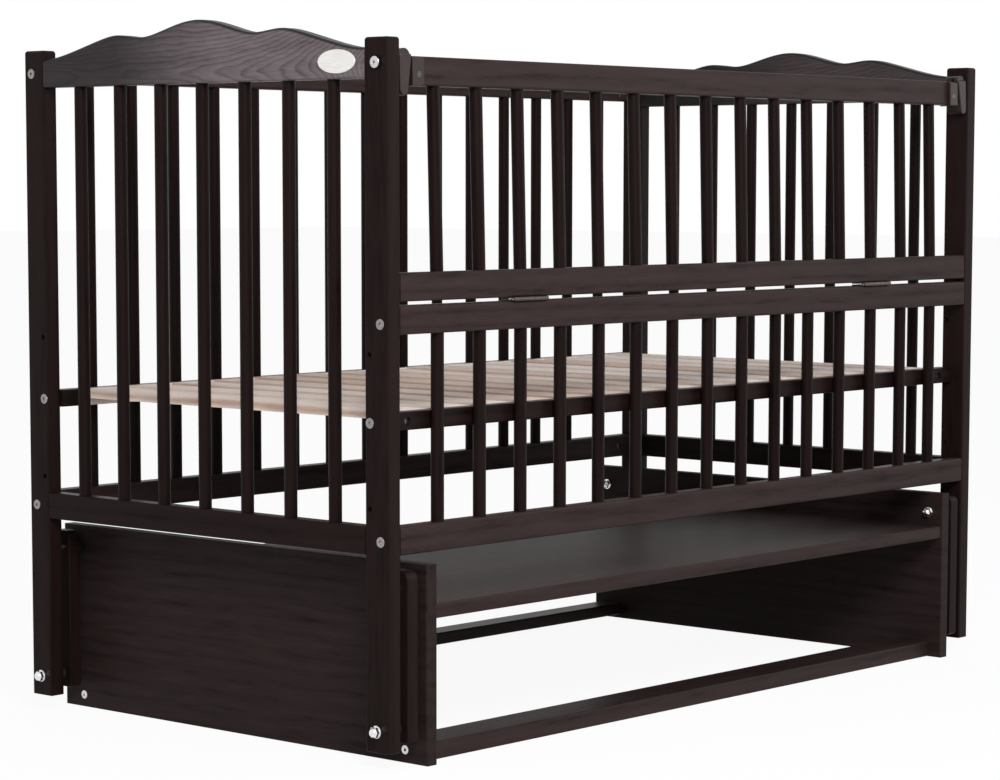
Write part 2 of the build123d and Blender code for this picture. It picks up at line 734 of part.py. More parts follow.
with BuildPart() as latch_bracket:
    bracket_z = flap_top_rail_low - bracket_low + bracket_height / 2
    with BuildSketch(flap_face_plane.offset(-bracket_face)):
        with Locations((bracket_outer_x - (bracket_lap + bracket_end) / 2, bracket_z)):
            Rectangle(bracket_lap + bracket_end, bracket_height)
    extrude(amount=-bracket_front)
    chamfer(latch_bracket.faces().sort_by(Axis.Y)[0].edges(), bracket_bevel)
    with BuildSketch(flap_end_plane.offset(flap_top_half)):
        with Locations((hinge_proud + stock / 2, bracket_z)):
            Rectangle(stock, bracket_height)
    extrude(amount=bracket_end)
    with BuildSketch(flap_face_plane.offset(-tongue_face)):
        with Locations(((bracket_outer_x + lever_x) / 2, lever_z)):
            Rectangle(lever_x - bracket_outer_x, 2 * tongue_r)
        with Locations((lever_x, lever_z)):
            Circle(tongue_r)
            Circle(lever_pin_r, mode=Mode.SUBTRACT)
    extrude(amount=-tongue_width)
    with BuildSketch(flap_end_plane.offset(flap_top_half)):
        with Locations((tongue_face + tongue_width / 2, lever_z - tongue_r / 2)):
            Rectangle(tongue_width, 3 * tongue_r)
    extrude(amount=bracket_end)
    with BuildSketch(flap_face_plane.offset(-bracket_face)):
        with Locations((bracket_screw_x, bracket_screw_z)):
            Circle(bracket_screw_head_r + screw_slack)
    extrude(amount=-bracket_screw_head_r, taper=45, mode=Mode.SUBTRACT)
    with BuildSketch(flap_face_plane.offset(-bracket_face)):
        with Locations((bracket_screw_x, bracket_screw_z)):
            Circle(bracket_screw_r + screw_slack)
    extrude(amount=-bracket_front, mode=Mode.SUBTRACT)
save_both_ends(latch_bracket, "latch_bracket")

with BuildPart() as latch_bracket_screws:
    with BuildSketch(flap_face_plane.offset(-bracket_face)):
        with Locations((bracket_screw_x, bracket_screw_z)):
            Circle(bracket_screw_head_r)
    extrude(amount=-(bracket_screw_head_r - bracket_screw_r), taper=45)
    with BuildSketch(flap_face_plane.offset(-bracket_face)):
        with Locations((bracket_screw_x, bracket_screw_z)):
            Circle(bracket_screw_r)
    extrude(amount=-bracket_screw_length)
    mirror(about=Plane.YZ)
save(latch_bracket_screws, "latch_bracket_screws")

with BuildPart() as latch_lever:
    tip_x = lever_outer_x - lever_tip_r
    with BuildSketch(flap_face_plane.offset(-bracket_face - lever_plate)):
        with Locations((lever_x, lever_z)):
            Circle(lever_hub_r)
        with Locations((tip_x, lever_z - lever_drop)):
            Circle(lever_tip_r)
        make_hull()
    extrude(amount=-(lever_depth - lever_plate))
    fillet(latch_lever.faces().sort_by(Axis.Y)[-1].edges(), lever_plate / 2)
    with BuildSketch(flap_face_plane.offset(-bracket_face)):
        with Locations((lever_x, lever_z)):
            Circle(lever_hub_r)
        with Locations((tip_x, lever_z - lever_drop)):
            Circle(lever_tip_r)
        make_hull()
        with Locations((lever_x, lever_z + lever_plate_rise + lever_hub_r)):
            Rectangle(4 * lever_hub_r, 2 * lever_hub_r, mode=Mode.SUBTRACT)
    extrude(amount=-lever_plate)
    chamfer(latch_lever.faces().sort_by(Axis.Y)[0].edges(), lever_plate / 3)
    with BuildSketch(flap_face_plane.offset(-bay_front)):
        with Locations((lever_x, lever_z)):
            Circle(lever_bay_r)
        with Locations((lever_x - lever_hub_r, lever_z)):
            Rectangle(2 * lever_hub_r, 2 * lever_bay_r)
        with Locations(((bay_left + nose_root) / 2, lever_z - lever_bay_drop / 2)):
            Rectangle(nose_root - bay_left, lever_bay_drop)
    extrude(amount=-(bay_back - bay_front), mode=Mode.SUBTRACT)
    with BuildSketch(flap_face_plane.offset(-bracket_face - lever_plate)):
        with Locations((lever_x, lever_z)):
            Circle(lever_pin_r + lever_pin_slack)
    extrude(amount=-(lever_depth - lever_plate), mode=Mode.SUBTRACT)
    nose_tip = end_inner_x + nose_bite
    nose_low = bracket_face + nose_front
    with BuildSketch(flap_top_plane.offset(lever_z - nose_drop)):
        with BuildLine():
            Polyline(
                (nose_root, nose_low),
                (nose_tip, nose_low),
                (nose_tip, nose_low + nose_width - nose_slope),
                (nose_tip - nose_slope, nose_low + nose_width),
                (nose_root, nose_low + nose_width),
                close=True,
            )
        make_face()
    extrude(amount=-nose_height)
save_both_ends(latch_lever, "latch_lever")

with BuildPart() as latch_pins:
    with BuildSketch(flap_face_plane.offset(-bracket_face - lever_plate)):
        with Locations((lever_x, lever_z)):
            Circle(lever_pin_r)
    extrude(amount=-(lever_depth - lever_plate))
    mirror(about=Plane.YZ)
save(latch_pins, "latch_pins")

with BuildPart() as latch_springs:
    with BuildSketch(flap_face_plane.offset(-tongue_face - tongue_width - spring_slack)):
        with Locations((lever_x, lever_z)):
            Circle(lever_pin_r + spring_slack + spring_wall)
            Circle(lever_pin_r + spring_slack, mode=Mode.SUBTRACT)
    extrude(amount=-(bay_back - tongue_face - tongue_width - 2 * spring_slack))
    mirror(about=Plane.YZ)
save(latch_springs, "latch_springs")

with BuildPart() as keeper_plates:
    nose_low_y = hinge_y + nose_low + (lever_z - nose_drop - nose_height / 2) * sin(radians(flap_lean))
    with BuildSketch(Plane.YZ.offset(end_inner_x)):
        with Locations((-keeper_bolt_y, (keeper_bottom + keeper_top) / 2)):
            RectangleRounded(
                keeper_width - 2 * keeper_slack,
                keeper_top - keeper_bottom - 2 * keeper_slack,
                keeper_corner,
            )
        with Locations((nose_low_y + nose_width / 2, (keeper_slot_bottom + keeper_slot_top) / 2)):
            Rectangle(
                nose_width + 2 * keeper_slot_side,
                keeper_slot_top - keeper_slot_bottom,
                mode=Mode.SUBTRACT,
            )
        with Locations((-keeper_bolt_y, keeper_bolt_z)):
            Circle(keeper_bolt_r, mode=Mode.SUBTRACT)
    extrude(amount=keeper_depth)
    mirror(about=Plane.YZ)
save(keeper_plates, "keeper_plates")

with BuildPart() as keeper_bolts:
    with BuildSketch(Plane.YZ.offset(end_outer_x - keeper_recess_depth)):
        with Locations((-keeper_bolt_y, keeper_bolt_z)):
            Circle(keeper_head_r)
    extrude(amount=keeper_recess_depth + keeper_head_proud)
    fillet(keeper_bolts.faces().sort_by(Axis.X)[-1].edges(), keeper_head_edge)
    with BuildSketch(Plane.YZ.offset(end_outer_x + keeper_head_proud)):
        with Locations((-keeper_bolt_y, keeper_bolt_z)):
            Circle(keeper_head_hole_r)
    extrude(amount=-keeper_head_proud, mode=Mode.SUBTRACT)
    with BuildSketch(Plane.YZ.offset(end_inner_x)):
        with Locations((-keeper_bolt_y, keeper_bolt_z)):
            Circle(keeper_bolt_r)
    extrude(amount=stock - keeper_recess_depth)
    mirror(about=Plane.YZ)
save(keeper_bolts, "keeper_bolts")


# Swinging links and pivots


def link(side):
    """Right-hand link, at the front (side -1) or the rear (side 1)."""
    with BuildPart() as piece:
        with BuildSketch(Plane.YZ.offset(link_inner_x)):
            with Locations((side * pivot_y, (link_bottom + link_top) / 2)):
                Rectangle(link_width, link_top - link_bottom)
        extrude(amount=link_thickness)
        corners = piece.edges().filter_by(Axis.X).group_by(Axis.Z)
        fillet(corners[-1], link_top_round)
        fillet(piece.edges().filter_by(Axis.X).group_by(Axis.Z)[0], link_bottom_round)
        fillet(piece.faces().filter_by(Axis.X).edges(), link_edge)
        with BuildSketch(Plane.YZ.offset(link_inner_x)):
            with Locations((side * pivot_y, low_pivot_z), (side * pivot_y, high_pivot_z)):
                Circle(sleeve_r + sleeve_slack)
        extrude(amount=link_thickness, mode=Mode.SUBTRACT)
    return piece


save_both_ends(link(-1), "link_front")
save_both_ends(link(1), "link_rear")


def spacer(seat_x, link_face_x, far_x, pivot_z):
    """Shouldered bush: a thick ring from the seat to the link, and a sleeve on through the link."""
    with BuildPart() as piece:
        with BuildSketch(Plane.YZ.offset(seat_x)):
            with Locations((-pivot_y, pivot_z)):
                Circle(spacer_r)
        extrude(amount=link_face_x - seat_x)
        with BuildSketch(Plane.YZ.offset(link_face_x)):
            with Locations((-pivot_y, pivot_z)):
                Circle(sleeve_r)
        extrude(amount=far_x - link_face_x)
        with BuildSketch(Plane.YZ.offset(seat_x)):
            with Locations((-pivot_y, pivot_z)):
                Circle(pivot_r + pivot_bore_slack)
        extrude(amount=far_x - seat_x, mode=Mode.SUBTRACT)
        mirror(about=Plane.XZ)
        mirror(about=Plane.YZ)
    return piece


def pivot_bolt(head_x, end_x, pivot_z):
    """Button-headed bolt whose head bears on the sleeve's end and whose shank runs to end_x."""
    inwards = 1 if end_x > head_x else -1
    with BuildPart() as piece:
        with BuildSketch(Plane.YZ.offset(head_x)):
            with Locations((-pivot_y, pivot_z)):
                Circle(pivot_head_r)
        extrude(amount=-inwards * pivot_head_height)
        outer_face = piece.faces().filter_by(Axis.X).sort_by(Axis.X)[0 if inwards > 0 else -1]
        fillet(outer_face.edges(), pivot_head_edge)
        with BuildSketch(Plane.YZ.offset(head_x - inwards * pivot_head_height)):
            with Locations((-pivot_y, pivot_z)):
                RegularPolygon(pivot_socket_width / 2, 6, major_radius=False)
        extrude(amount=inwards * pivot_socket_depth, mode=Mode.SUBTRACT)
        with BuildSketch(Plane.YZ.offset(head_x)):
            with Locations((-pivot_y, pivot_z)):
                Circle(pivot_r)
        extrude(amount=end_x - head_x)
        mirror(about=Plane.XZ)
        mirror(about=Plane.YZ)
    return piece


def cap_nut(seat_x, outwards, pivot_z):
    """Flanged dome nut seated on a face at seat_x, its dome pointing outwards (1) or inwards (-1)."""
    nut_end = cap_flange_height + cap_nut_height
    dome_r = cap_nut_width / 2
    axis_plane = Plane(origin=(seat_x, -pivot_y, pivot_z), x_dir=(outwards, 0, 0), z_dir=(0, -outwards, 0))
    with BuildPart() as piece:
        with BuildSketch(Plane.YZ.offset(seat_x)):
            with Locations((-pivot_y, pivot_z)):
                Circle(cap_flange_r)
        extrude(amount=outwards * cap_flange_height)
        with BuildSketch(Plane.YZ.offset(seat_x)):
            with Locations((-pivot_y, pivot_z)):
                RegularPolygon(cap_nut_width / 2, 6, major_radius=False)
        extrude(amount=outwards * nut_end)
        with BuildSketch(axis_plane):
            with BuildLine():
                Line((nut_end, 0), (nut_end, dome_r))
                ThreePointArc(
                    (nut_end, dome_r),
                    (nut_end + 0.75 * cap_dome_height, 0.66 * dome_r),
                    (nut_end + cap_dome_height, 0),
                )
                Line((nut_end + cap_dome_height, 0), (nut_end, 0))
            make_face()
        revolve(axis=Axis((seat_x, -pivot_y, pivot_z), (1, 0, 0)))
        with BuildSketch(Plane.YZ.offset(seat_x)):
            with Locations((-pivot_y, pivot_z)):
                Circle(pivot_r)
        extrude(amount=outwards * cap_bore_depth, mode=Mode.SUBTRACT)
        mirror(about=Plane.XZ)
        mirror(about=Plane.YZ)
    return piece


sleeve_outer_x = link_outer_x + link_side_gap
sleeve_inner_x = link_inner_x - link_side_gap

save(spacer(panel_outer_x, sleeve_inner_x, sleeve_outer_x, high_pivot_z), "stand_spacers")
save(spacer(end_inner_x, sleeve_outer_x, sleeve_inner_x, low_pivot_z), "cradle_spacers")
save(pivot_bolt(sleeve_outer_x, panel_inner_x - cap_bore_depth + 1, high_pivot_z), "stand_pivot_bolts")
save(pivot_bolt(sleeve_inner_x, end_outer_x + cap_bore_depth - 1, low_pivot_z), "cradle_pivot_bolts")
save(cap_nut(panel_inner_x, -1, high_pivot_z), "stand_pivot_nuts")
save(cap_nut(end_outer_x, 1, low_pivot_z), "cradle_pivot_nuts")


# Stand

foot_dowel_y = -front_foot_rail_face + foot_dowel_inset
foot_dowel_z = front_foot_rail_height / 2
stand_dowel_points = [(y, shelf_mid_z) for y in shelf_dowel_y] + [(foot_dowel_y, foot_dowel_z)]
cam_points = [(y, shelf_mid_z) for y in cam_y]

with BuildPart() as stand_panel:
    with BuildSketch(Plane.YZ.offset(panel_inner_x)):
        with Locations((0, panel_height / 2)):
            Rectangle(panel_width, panel_height)
    extrude(amount=panel_thickness)
    fillet(stand_panel.faces().filter_by(Axis.X).edges(), panel_edge)
    with BuildSketch(Plane.YZ.offset(panel_inner_x)):
        with Locations((-pivot_y, high_pivot_z), (pivot_y, high_pivot_z)):
            Circle(pivot_r + pivot_bore_slack)
        with Locations((-foot_screw_y, foot_screw_z), (foot_screw_y, foot_screw_z)):
            Circle(foot_screw_r + screw_slack)
    extrude(amount=panel_thickness, mode=Mode.SUBTRACT)
    with BuildSketch(Plane.YZ.offset(panel_outer_x)):
        with Locations((-foot_screw_y, foot_screw_z), (foot_screw_y, foot_screw_z)):
            Circle(foot_screw_head_r + screw_slack)
    extrude(amount=-foot_screw_head_depth, mode=Mode.SUBTRACT)
    with BuildSketch(Plane.YZ.offset(panel_inner_x)):
        with Locations(*stand_dowel_points):
            Circle(dowel_r + dowel_slack)
        with Locations(*cam_points):
            Circle(cam_bolt_r)
    extrude(amount=stand_dowel_in_panel + dowel_end_gap, mode=Mode.SUBTRACT)
save_both_ends(stand_panel, "stand_panel")

with BuildPart() as stand_shelf:
    with BuildSketch(Plane.YZ.offset(-panel_inner_x)):
        with Locations(((shelf_rear - shelf_front) / 2, shelf_mid_z)):
            RectangleRounded(shelf_front + shelf_rear, shelf_thickness, shelf_edge)
    extrude(amount=2 * panel_inner_x)
    for end in (-1, 1):
        with BuildSketch(Plane.YZ.offset(end * panel_inner_x)):
            with Locations(*[(y, shelf_mid_z) for y in shelf_dowel_y]):
                Circle(dowel_r + dowel_slack)
        extrude(amount=-end * (stand_dowel_in_rail + dowel_end_gap), mode=Mode.SUBTRACT)
        with BuildSketch(Plane.YZ.offset(end * panel_inner_x)):
            with Locations(*cam_points):
                Circle(cam_bolt_r + cam_bolt_slack)
        extrude(amount=-end * cam_reach, mode=Mode.SUBTRACT)
    cam_x = panel_inner_x - cam_reach
    with BuildSketch(Plane.XY.offset(shelf_z)):
        with Locations(*[(end * cam_x, y) for end in (-1, 1) for y in cam_y]):
            Circle(cam_r + cam_slack)
    extrude(amount=cam_depth + cam_slack, mode=Mode.SUBTRACT)
save(stand_shelf, "stand_shelf")

with BuildPart() as shelf_cam_locks:
    with BuildSketch(Plane.XY.offset(shelf_z)):
        with Locations(*[(cam_x, y) for y in cam_y]):
            Circle(cam_r)
    extrude(amount=cam_depth)
    with BuildSketch(Plane.YZ.offset(cam_x + cam_r)):
        with Locations(*cam_points):
            Circle(cam_bolt_r + cam_bolt_slack)
    extrude(amount=-cam_r - cam_bolt_r, mode=Mode.SUBTRACT)
    mirror(about=Plane.YZ)
save(shelf_cam_locks, "shelf_cam_locks")

with BuildPart() as shelf_cam_bolts:
    with BuildSketch(Plane.YZ.offset(panel_inner_x + cam_bolt_in_panel)):
        with Locations(*cam_points):
            Circle(cam_bolt_r)
    extrude(amount=-(cam_bolt_in_panel + cam_reach))
    mirror(about=Plane.YZ)
save(shelf_cam_bolts, "shelf_cam_bolts")


def foot_rail(y_mid, z_low, width, height, screw_y, dowel_y):
    """Rail at floor level between the panels, bored at its ends for a screw and any dowels."""
    with BuildPart() as rail:
        with BuildSketch(Plane.YZ.offset(-panel_inner_x)):
            with Locations((y_mid, z_low + height / 2)):
                RectangleRounded(width, height, shelf_edge)
        extrude(amount=2 * panel_inner_x)
        for end in (-1, 1):
            with BuildSketch(Plane.YZ.offset(end * panel_inner_x)):
                with Locations((screw_y, foot_screw_z)):
                    Circle(foot_screw_r)
            extrude(amount=-end * (foot_screw_length - panel_thickness), mode=Mode.SUBTRACT)
            for y in dowel_y:
                with BuildSketch(Plane.YZ.offset(end * panel_inner_x)):
                    with Locations((y, foot_dowel_z)):
                        Circle(dowel_r + dowel_slack)
                extrude(amount=-end * (stand_dowel_in_rail + dowel_end_gap), mode=Mode.SUBTRACT)
    return rail


front_foot_mid = front_foot_rail_width / 2 - front_foot_rail_face
front_foot = foot_rail(
    front_foot_mid, 0, front_foot_rail_width, front_foot_rail_height, -foot_screw_y, (foot_dowel_y,)
)
save(front_foot, "stand_rail_front")
rear_foot_mid = rear_foot_rail_face + rear_foot_rail_width / 2
rear_foot = foot_rail(
    rear_foot_mid, rear_foot_rail_z, rear_foot_rail_width, rear_foot_rail_height, foot_screw_y, ()
)
save(rear_foot, "stand_rail_rear")

with BuildPart() as stand_dowels:
    with BuildSketch(Plane.YZ.offset(panel_inner_x + stand_dowel_in_panel)):
        with Locations(*stand_dowel_points):
            Circle(dowel_r)
    extrude(amount=-(stand_dowel_in_panel + stand_dowel_in_rail))
    mirror(about=Plane.YZ)
save(stand_dowels, "stand_dowels")

with BuildPart() as stand_screws:
    with BuildSketch(Plane.YZ.offset(panel_outer_x)):
        with Locations((-foot_screw_y, foot_screw_z), (foot_screw_y, foot_screw_z)):
            Circle(foot_screw_head_r)
    extrude(amount=-foot_screw_head_depth)
    with BuildSketch(Plane.YZ.offset(panel_outer_x)):
        with Locations((-foot_screw_y, foot_screw_z), (foot_screw_y, foot_screw_z)):
            Circle(foot_screw_r)
    extrude(amount=-foot_screw_length)
    with BuildSketch(Plane.YZ.offset(panel_outer_x)):
        with Locations((-foot_screw_y, foot_screw_z), (foot_screw_y, foot_screw_z)):
            RegularPolygon(foot_screw_socket_width / 2, 6, major_radius=False)
    extrude(amount=-foot_screw_socket_depth, mode=Mode.SUBTRACT)
    mirror(about=Plane.YZ)
save(stand_screws, "stand_screws")


# Bare oval plate

with BuildPart() as oval_plate:
    with BuildSketch(Plane.YZ.offset(-end_outer_x)):
        with Locations((oval_y, oval_z)):
            Ellipse(oval_length / 2, oval_height / 2)
    extrude(amount=-oval_thickness)
    fillet(oval_plate.faces().sort_by(Axis.X)[0].edges(), oval_edge)
save(oval_plate, "oval_plate")
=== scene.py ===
import math

import bpy
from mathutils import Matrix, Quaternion, Vector

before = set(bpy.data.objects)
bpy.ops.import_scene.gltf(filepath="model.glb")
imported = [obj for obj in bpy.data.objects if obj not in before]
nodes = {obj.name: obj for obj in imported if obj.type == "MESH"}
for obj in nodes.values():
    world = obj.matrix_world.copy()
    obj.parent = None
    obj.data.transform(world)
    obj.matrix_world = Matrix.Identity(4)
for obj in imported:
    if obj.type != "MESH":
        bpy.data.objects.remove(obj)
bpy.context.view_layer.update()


# Posts of the two end frames: planed solid pine, rounded along the edges and over the top,
# stained almost black, with a satin surface; their colour is a darker copy of the stain, partly
# painted shade. The grain stands upright, and each piece is cut from another part of the plank.
# The stain's darker copy: its own near-black tone, darkened further by painted shade.
stain_deep_and_shade = (0.0030, 0.0011, 0.0010, 1)
stain_light_and_shade = (0.0130, 0.0068, 0.0064, 1)
stain_shine = 0.05
stain_relief = 0.0006
plank_step = (1.31, 0.77, 2.13)
fibre_stretch = {"x": (0.10, 1, 1), "y": (1, 0.10, 1), "z": (1, 1, 0.10)}
growth_band = {"x": "Z", "y": "Z", "z": "X"}


def new_finish(name):
    finish = bpy.data.materials.new(name)
    finish.use_nodes = True
    tree = finish.node_tree
    return finish, tree, tree.nodes["Principled BSDF"]


def node(tree, kind, **values):
    made = tree.nodes.new(kind)
    for key, value in values.items():
        if hasattr(made, key):
            setattr(made, key, value)
        else:
            made.inputs[key.replace("_", " ").title()].default_value = value
    return made


def arithmetic(tree, operation, first, second=0):
    made = node(tree, "ShaderNodeMath", operation=operation)
    for place, value in enumerate((first, second)):
        if isinstance(value, (int, float)):
            made.inputs[place].default_value = value
        else:
            tree.links.new(value, made.inputs[place])
    return made.outputs[0]


def ramp(tree, value, stops):
    made = node(tree, "ShaderNodeValToRGB")
    band = made.color_ramp.elements
    while len(band) < len(stops):
        band.new(0.5)
    for stop, (place, colour) in zip(band, stops):
        stop.position = place
        stop.color = colour if len(colour) == 4 else (*colour, 1)
    tree.links.new(value, made.inputs["Fac"])
    return made.outputs["Color"]


def grain_of(tree, along, cut, figure_size=55.0, band_size=15.0, warp=6.0):
    """Heights from 0 to 1 of a plank's growth figure, its soft streaks and its fine fibres."""
    place = node(tree, "ShaderNodeTexCoord").outputs["Object"]
    plank = node(tree, "ShaderNodeMapping")
    plank.inputs["Location"].default_value = [step * cut for step in plank_step]
    plank.inputs["Scale"].default_value = fibre_stretch[along]
    tree.links.new(place, plank.inputs["Vector"])
    streaks = node(tree, "ShaderNodeTexNoise", scale=figure_size * 2.4, detail=5.0, roughness=0.6)
    growth = node(tree, "ShaderNodeTexWave", wave_type="BANDS", bands_direction=growth_band[along],
                  scale=band_size, distortion=warp, detail=3.0)
    growth.inputs["Detail Scale"].default_value = 1.4
    fibres = node(tree, "ShaderNodeTexNoise", scale=figure_size * 15, detail=3.0, roughness=0.65)
    for pattern in (streaks, growth, fibres):
        tree.links.new(plank.outputs["Vector"], pattern.inputs["Vector"])
    return growth.outputs["Fac"], streaks.outputs["Fac"], fibres.outputs["Fac"]


def relief(tree, shader, heights, strength, depth):
    bump = node(tree, "ShaderNodeBump")
    bump.inputs["Strength"].default_value = strength
    bump.inputs["Distance"].default_value = depth
    tree.links.new(heights, bump.inputs["Height"])
    tree.links.new(bump.outputs["Normal"], shader.inputs["Normal"])


def stained_wood(name, along, cut, light=stain_light_and_shade, deep=stain_deep_and_shade, gloss=0.40, figure=0.22):
    finish, tree, shader = new_finish(name)
    growth, streaks, fibres = grain_of(tree, along, cut)
    tone = arithmetic(tree, "ADD", arithmetic(tree, "MULTIPLY", growth, figure),
                      arithmetic(tree, "MULTIPLY", streaks, 1 - figure))
    tone = arithmetic(tree, "ADD", arithmetic(tree, "MULTIPLY", tone, 0.72),
                      arithmetic(tree, "MULTIPLY", fibres, 0.28))
    colour = ramp(tree, tone, [(0.26, deep), (0.44, tuple((a + 2 * b) / 3 for a, b in zip(deep, light))),
                               (0.68, light)])
    tree.links.new(colour, shader.inputs["Base Color"])
    sheen = arithmetic(tree, "ADD", arithmetic(tree, "MULTIPLY", fibres, 0.18), gloss - 0.09)
    tree.links.new(sheen, shader.inputs["Roughness"])
    heights = arithmetic(tree, "ADD", arithmetic(tree, "MULTIPLY", tone, 0.6),
                         arithmetic(tree, "MULTIPLY", fibres, 0.5))
    relief(tree, shader, heights, 0.30, stain_relief)
    shader.inputs["Specular IOR Level"].default_value = stain_shine
    return finish


def finished(name, finish):
    piece = nodes[name]
    piece.data.materials.clear()
    piece.data.materials.append(finish)


upright_pieces = ["post_front_left", "post_front_right", "post_rear_left", "post_rear_right"]
for cut, name in enumerate(upright_pieces, 1):
    finished(name, stained_wood(name + "_stain", "z", cut))


# Headboards: wide solid pine boards sawn to a wavy crest. The stained growth figure shows best
# here, paler and greyer than on the rails; the left board's much paler tones are partly painted
# sheen. Its arches open towards the front. A painted sheen fades towards the rear, and painted
# shade darkens the upward faces of the sawn top edge.
# The left board's light tones hold a painted sheen as well as the board's own paler stain; the right board
# has no such sheen.
board_tones_with_sheen = {"headboard_left": ((0.020, 0.0138, 0.0146, 1), (0.172, 0.140, 0.150, 1)),
               "headboard_right": ((0.0105, 0.0062, 0.0062, 1), (0.062, 0.046, 0.048, 1))}
heart_height = 0.826
heart_depth = 0.012
ring_width = 0.0052
ring_wander = 0.030
arch_from = 0.29
arch_fade = -8.0
arch_reach = 0.085
board_shine = 0.20
board_relief = 0.0009
one_year = [(0.0, (0.32, 0.32, 0.32)), (0.16, (0.85, 0.85, 0.85)),
            (0.66, (0.70, 0.70, 0.70)), (1.0, (0.28, 0.28, 0.28))]
# Painted sheen: the board colour is lightest at the front and turns darker towards the rear.
painted_sheen_front_to_rear = [(0.36, (1, 1, 1)), (0.64, (0.16, 0.14, 0.14))]
# Painted shade: faces that look upward, on the top edge, are darkened.
painted_top_shade_ramp = [(0.10, (1, 1, 1)), (0.45, (0.05, 0.040, 0.040))]


def blended(tree, share, first, second, kind="MIX"):
    made = node(tree, "ShaderNodeMix", data_type="RGBA", blend_type=kind)
    for place, value in ((0, share), (6, first), (7, second)):
        if isinstance(value, (int, float, tuple)):
            made.inputs[place].default_value = value
        else:
            tree.links.new(value, made.inputs[place])
    return made.outputs[2]


for cut, (name, (board_deep, board_light_and_sheen)) in enumerate(board_tones_with_sheen.items(), 7):
    finish, tree, shader = new_finish(name + "_stain")
    streaks, fibres = grain_of(tree, "y", cut, figure_size=30.0)[1:]
    place = node(tree, "ShaderNodeTexCoord").outputs["Object"]
    split = node(tree, "ShaderNodeSeparateXYZ")
    tree.links.new(place, split.inputs["Vector"])
    wander = node(tree, "ShaderNodeMapping")
    wander.inputs["Scale"].default_value = (1, 0.35, 1)
    waver = node(tree, "ShaderNodeTexNoise", scale=16.0, detail=3.0, roughness=0.5)
    tree.links.new(place, wander.inputs["Vector"])
    tree.links.new(wander.outputs["Vector"], waver.inputs["Vector"])
    across = arithmetic(tree, "SUBTRACT", split.outputs["Z"], heart_height)
    across = arithmetic(tree, "ADD", arithmetic(tree, "MULTIPLY", across, across), heart_depth ** 2)
    rearward = arithmetic(tree, "ADD", split.outputs["Y"], arch_from)
    flare = arithmetic(tree, "POWER", math.e, arithmetic(tree, "MULTIPLY", rearward, arch_fade))
    rings = arithmetic(tree, "SUBTRACT", arithmetic(tree, "POWER", across, 0.5),
                       arithmetic(tree, "MULTIPLY", flare, arch_reach))
    rings = arithmetic(tree, "ADD", rings, arithmetic(tree, "MULTIPLY", waver.outputs["Fac"], ring_wander))
    season = arithmetic(tree, "FRACT", arithmetic(tree, "DIVIDE", rings, ring_width))
    year = ramp(tree, season, one_year)
    tone = arithmetic(tree, "ADD", arithmetic(tree, "MULTIPLY", year, 0.30),
                      arithmetic(tree, "MULTIPLY", streaks, 0.38))
    tone = arithmetic(tree, "ADD", tone, arithmetic(tree, "MULTIPLY", fibres, 0.32))
    colour = ramp(tree, tone, [(0.28, board_deep), (0.72, board_light_and_sheen)])
    # Painted sheen by position along the board, multiplied into the colour: light at the front, dark at
    # the rear.
    depth = arithmetic(tree, "ADD", arithmetic(tree, "MULTIPLY", split.outputs["Y"], 1.5), 0.42)
    painted_sheen = ramp(tree, depth, painted_sheen_front_to_rear)
    colour = blended(tree, 1.0, colour, painted_sheen, "MULTIPLY")
    # Painted shade on the upward faces of the top edge, picked by the object-space normal.
    facing = node(tree, "ShaderNodeSeparateXYZ")
    tree.links.new(node(tree, "ShaderNodeTexCoord").outputs["Normal"], facing.inputs["Vector"])
    painted_top_shade = ramp(tree, facing.outputs["Z"], painted_top_shade_ramp)
    colour = blended(tree, 1.0, colour, painted_top_shade, "MULTIPLY")
    tree.links.new(colour, shader.inputs["Base Color"])
    sheen = arithmetic(tree, "ADD", arithmetic(tree, "MULTIPLY", fibres, 0.2), 0.34)
    tree.links.new(sheen, shader.inputs["Roughness"])
    relief(tree, shader, tone, 0.45, board_relief)
    shader.inputs["Specular IOR Level"].default_value = board_shine
    finished(name, finish)


# Rails: planed pine strips with rounded edges. Those along the crib are bolted between the
# posts, and the end rails across it are dowelled.
# A lighter copy of the posts' stain: painted light on the rails, shelf and foot rails.
lit_rail_light = (0.034, 0.0215, 0.0215, 1)
lit_rail_deep = (0.0070, 0.0032, 0.0030, 1)
along_crib = ["front_bottom_rail", "front_mid_rail", "flap_bottom_rail", "flap_top_rail",
              "rear_bottom_rail", "rear_top_rail"]
for cut, name in enumerate(along_crib, 11):
    finished(name, stained_wood(name + "_stain", "x", cut, light=lit_rail_light, deep=lit_rail_deep))
for cut, name in enumerate(("end_rail_left", "end_rail_right"), 21):
    finished(name, stained_wood(name + "_stain", "y", cut))


# Spindles: turned rods 16 mm thick, set into the rails and headboards, stained darkest.
rod_light = (0.0105, 0.0054, 0.0052, 1)
rod_sets = ["end_spindles_left", "end_spindles_right", "front_spindles", "rear_spindles",
            "flap_spindles"]
for cut, name in enumerate(rod_sets, 31):
    finished(name, stained_wood(name + "_stain", "z", cut, light=rod_light, gloss=0.34))


# Mattress base rails: pine, stained on the outer face only. The inner face is bare wood, and
# the stain ends in ragged smears where a brush ran round the ends.
pine_pale = (0.880, 0.780, 0.725, 1)
pine_middle = (0.76, 0.640, 0.575, 1)
pine_late = (0.520, 0.370, 0.295, 1)
bare_half_depth = 0.2822
bare_half_length = 0.598
smear_length = 0.05


def bare_pine(tree, along, cut, band_size=14.0):
    growth, streaks, fibres = grain_of(tree, along, cut, figure_size=30.0, band_size=band_size, warp=4.0)
    tone = arithmetic(tree, "ADD", arithmetic(tree, "MULTIPLY", growth, 0.42),
                      arithmetic(tree, "MULTIPLY", streaks, 0.40))
    tone = arithmetic(tree, "ADD", tone, arithmetic(tree, "MULTIPLY", fibres, 0.18))
    colour = ramp(tree, tone, [(0.24, pine_late), (0.46, pine_middle), (0.66, pine_pale)])
    return colour, tone


